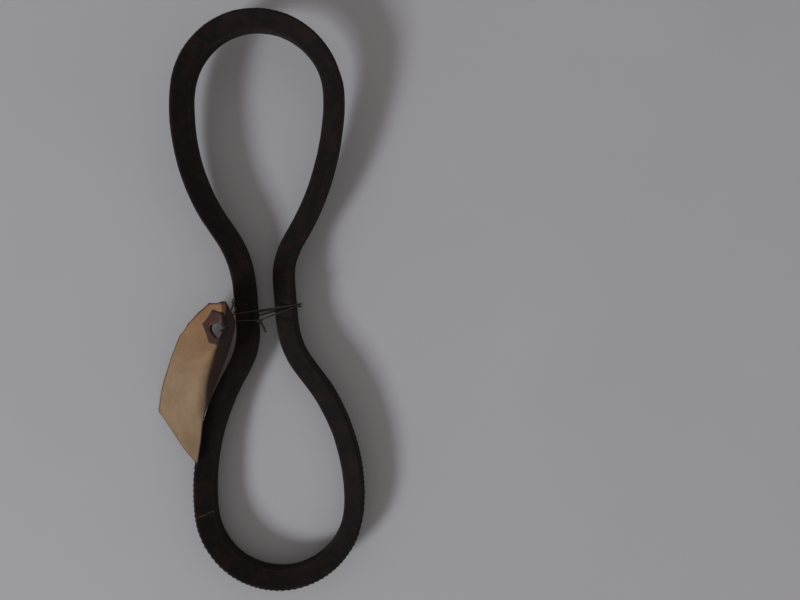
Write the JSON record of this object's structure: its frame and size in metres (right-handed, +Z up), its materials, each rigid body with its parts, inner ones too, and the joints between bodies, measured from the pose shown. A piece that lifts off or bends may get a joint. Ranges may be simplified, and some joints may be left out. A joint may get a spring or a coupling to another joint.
{
  "type": "v belt",
  "caption": "Fabric-wrapped V-belt, lying on its side with its two runs tied together at the waist by a soft wire that carries a card tag.",
  "frame": {"origin": "on the surface that the belt lies on, midway between the two runs at the tied waist", "axes": "+Y along the loop towards the end that is raised, +Z up from the surface, +X towards the run away from the tag"},
  "size_m": [0.0899, 0.2272, 0.0312],
  "materials": {
    "wrap_fabric": "rubber-impregnated cotton, dull and slightly brown",
    "belt_rubber": "moulded black rubber",
    "cushion_rubber": "soft moulded rubber",
    "cord": "twisted polyester cord",
    "soft_wire": "dull annealed iron wire",
    "tag_card": "manila card, soiled",
    "patch_fibre": "red-brown vulcanised fibre"
  },
  "bodies": {
    "belt": {"outer_cover": "wrap_fabric", "inner_cover": "wrap_fabric", "back_rubber": "belt_rubber", "upper_cushion": "cushion_rubber", "lower_cushion": "cushion_rubber", "base_rubber": "belt_rubber", "tensile_cord_1": "cord", "tensile_cord_2": "cord", "tensile_cord_3": "cord", "tensile_cord_4": "cord", "tensile_cord_5": "cord", "tensile_cord_6": "cord", "tensile_cord_7": "cord", "tensile_cord_8": "cord", "tensile_cord_9": "cord", "tie_wire": "soft_wire"},
    "tag_loop": {"tag_loop": "soft_wire"},
    "tag": {"tag": "tag_card", "tag_patch_front": "patch_fibre", "tag_patch_back": "patch_fibre"}
  },
  "joints": [
    {"name": "loop_swing", "type": "hinge", "parent": "belt", "child": "tag_loop", "pos_m": [-0.0134, -0.0048, 0.01244], "axis": [-1, 0, 0], "range_deg": [0, 45]},
    {"name": "tag_turn", "type": "hinge", "parent": "tag_loop", "child": "tag", "pos_m": [-0.01636, -0.00756, 0.02884], "axis": [-0.1034, -0.2301, 0.9677], "range_deg": [-10, 5]}
  ]
}
